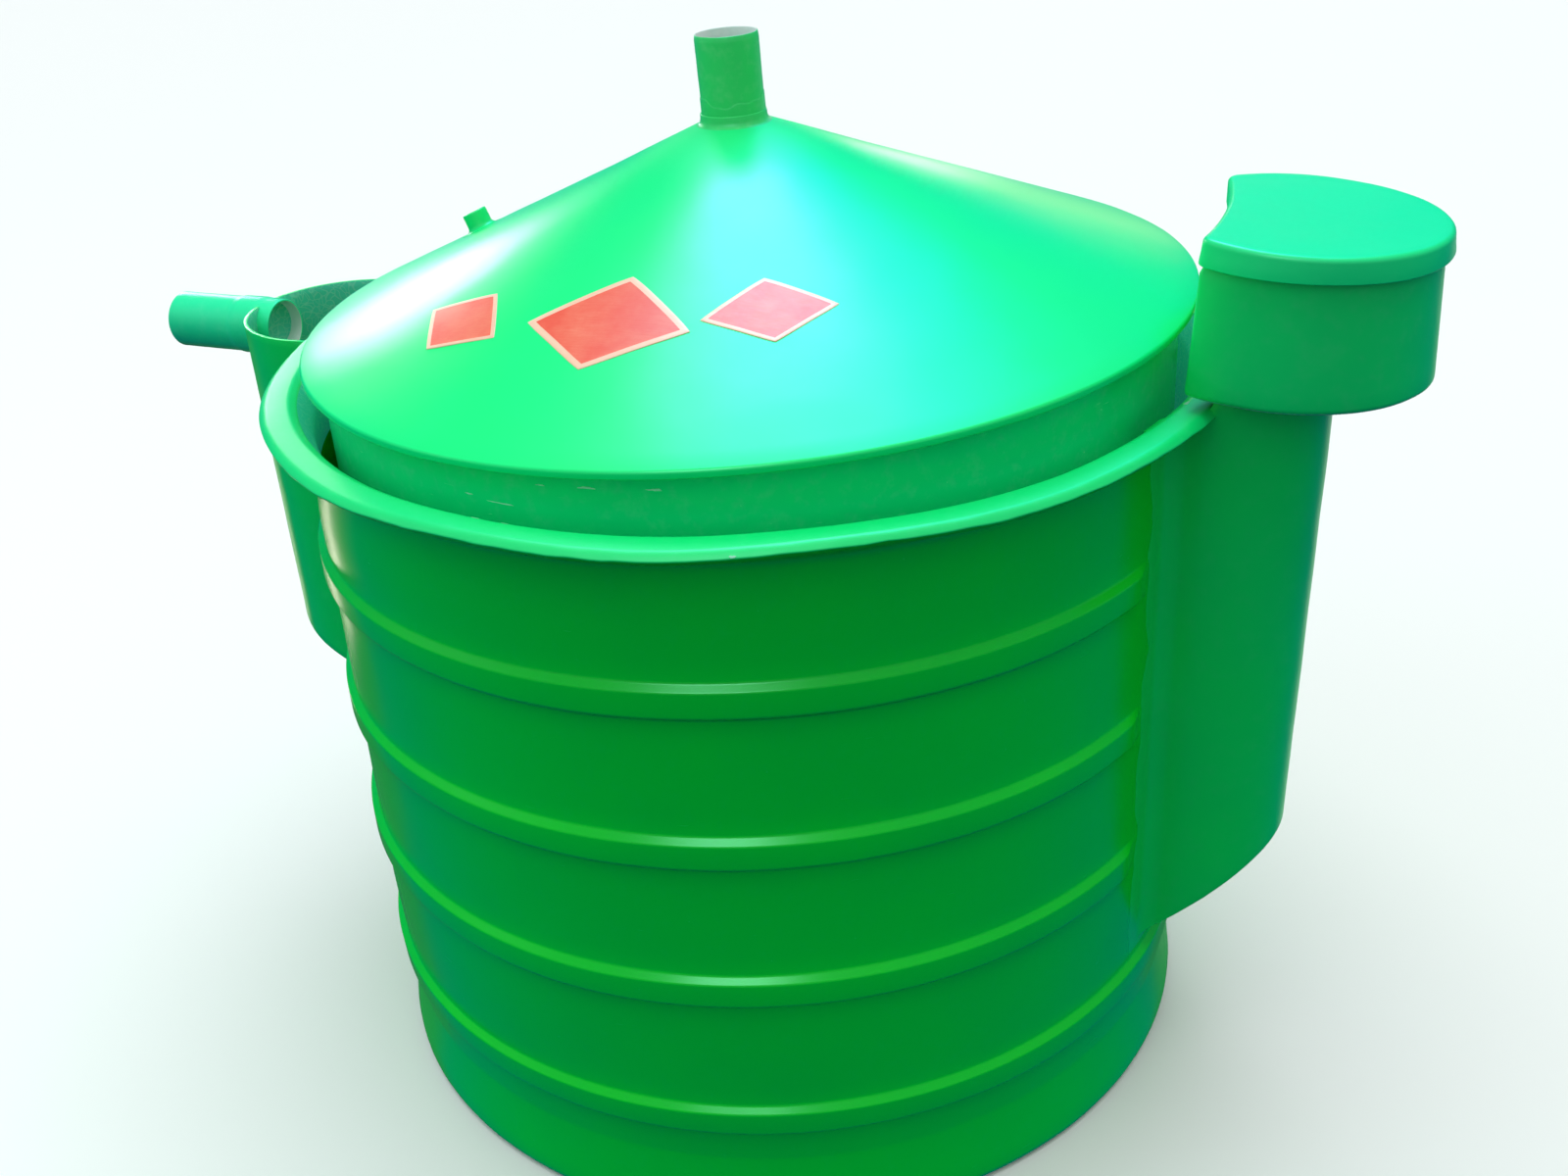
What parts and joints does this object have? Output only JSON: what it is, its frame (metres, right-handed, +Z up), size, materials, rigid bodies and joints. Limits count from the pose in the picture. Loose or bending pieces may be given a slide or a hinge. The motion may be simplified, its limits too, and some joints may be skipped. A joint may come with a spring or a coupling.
{
  "type": "floating-drum biogas digester",
  "caption": "Family biogas digester: a round ribbed tank with a cone-roofed floating gas holder, a lidded feed hopper on a side duct, and a slurry outlet with an overflow pipe.",
  "frame": {"origin": "centre of the tank's flat underside, on the ground", "axes": "+Z up along the tank's axis, +X towards the feed hopper, -X towards the outlet pipe"},
  "size_m": [1.7095, 1.1994, 1.315],
  "materials": {
    "gelcoat_wall": "glossy green gel-coat over glass fibre, slightly wavy",
    "gelcoat_cone": "glossy bright green gel-coat over glass fibre",
    "gelcoat_duct": "green gel-coat, hand laid",
    "bare_pipe": "bare pale grey pipe"
  },
  "bodies": {
    "tank": {"tank_floor": "gelcoat_wall", "wall_front_1": "gelcoat_wall", "wall_front_2": "gelcoat_wall", "wall_front_3": "gelcoat_wall", "wall_front_4": "gelcoat_wall", "wall_back_1": "gelcoat_wall", "wall_back_2": "gelcoat_wall", "wall_back_3": "gelcoat_wall", "wall_back_4": "gelcoat_wall", "wall_inlet_low": "gelcoat_wall", "wall_inlet_high": "gelcoat_wall", "wall_outlet_low": "gelcoat_wall", "wall_outlet_high": "gelcoat_wall", "tank_rim": "gelcoat_cone", "rib_1": "gelcoat_wall", "rib_2": "gelcoat_wall", "rib_3_front": "gelcoat_wall", "rib_3_back": "gelcoat_wall", "rib_4_front": "gelcoat_wall", "rib_4_back": "gelcoat_wall", "inlet_duct": "gelcoat_duct", "inlet_foot": "gelcoat_duct", "hopper_body": "gelcoat_duct", "outlet_chamber": "gelcoat_duct", "overflow_pipe": "gelcoat_cone", "pole_foot": "gelcoat_wall", "rest_lug_1": "gelcoat_wall", "rest_lug_2": "gelcoat_wall", "rest_lug_3": "gelcoat_wall", "rest_lug_4": "gelcoat_wall"},
    "guide_pole": {"guide_pole": "bare_pipe"},
    "gas_holder": {"holder_roof": "gelcoat_cone", "holder_wall_1": "gelcoat_wall", "holder_wall_2": "gelcoat_wall", "holder_wall_3": "gelcoat_wall", "holder_wall_4": "gelcoat_wall", "holder_wall_5": "gelcoat_wall", "holder_wall_6": "gelcoat_wall", "holder_wall_7": "gelcoat_wall", "holder_wall_8": "gelcoat_wall", "guide_tube": "gelcoat_duct", "gas_nozzle": "gelcoat_duct"},
    "hopper_lid": {"hopper_lid": "gelcoat_cone"}
  },
  "joints": [
    {"name": "holder_turn", "type": "hinge", "parent": "tank", "child": "guide_pole", "pos_m": [0, 0, 0.0146], "axis": [0, 0, 1], "continuous": true},
    {"name": "holder_rise", "type": "slide", "parent": "guide_pole", "child": "gas_holder", "axis": [0, 0, 1], "range_m": [0, 0.36]},
    {"name": "lid_lift", "type": "slide", "parent": "tank", "child": "hopper_lid", "axis": [0, 0, 1], "range_m": [0, 0.15]}
  ]
}
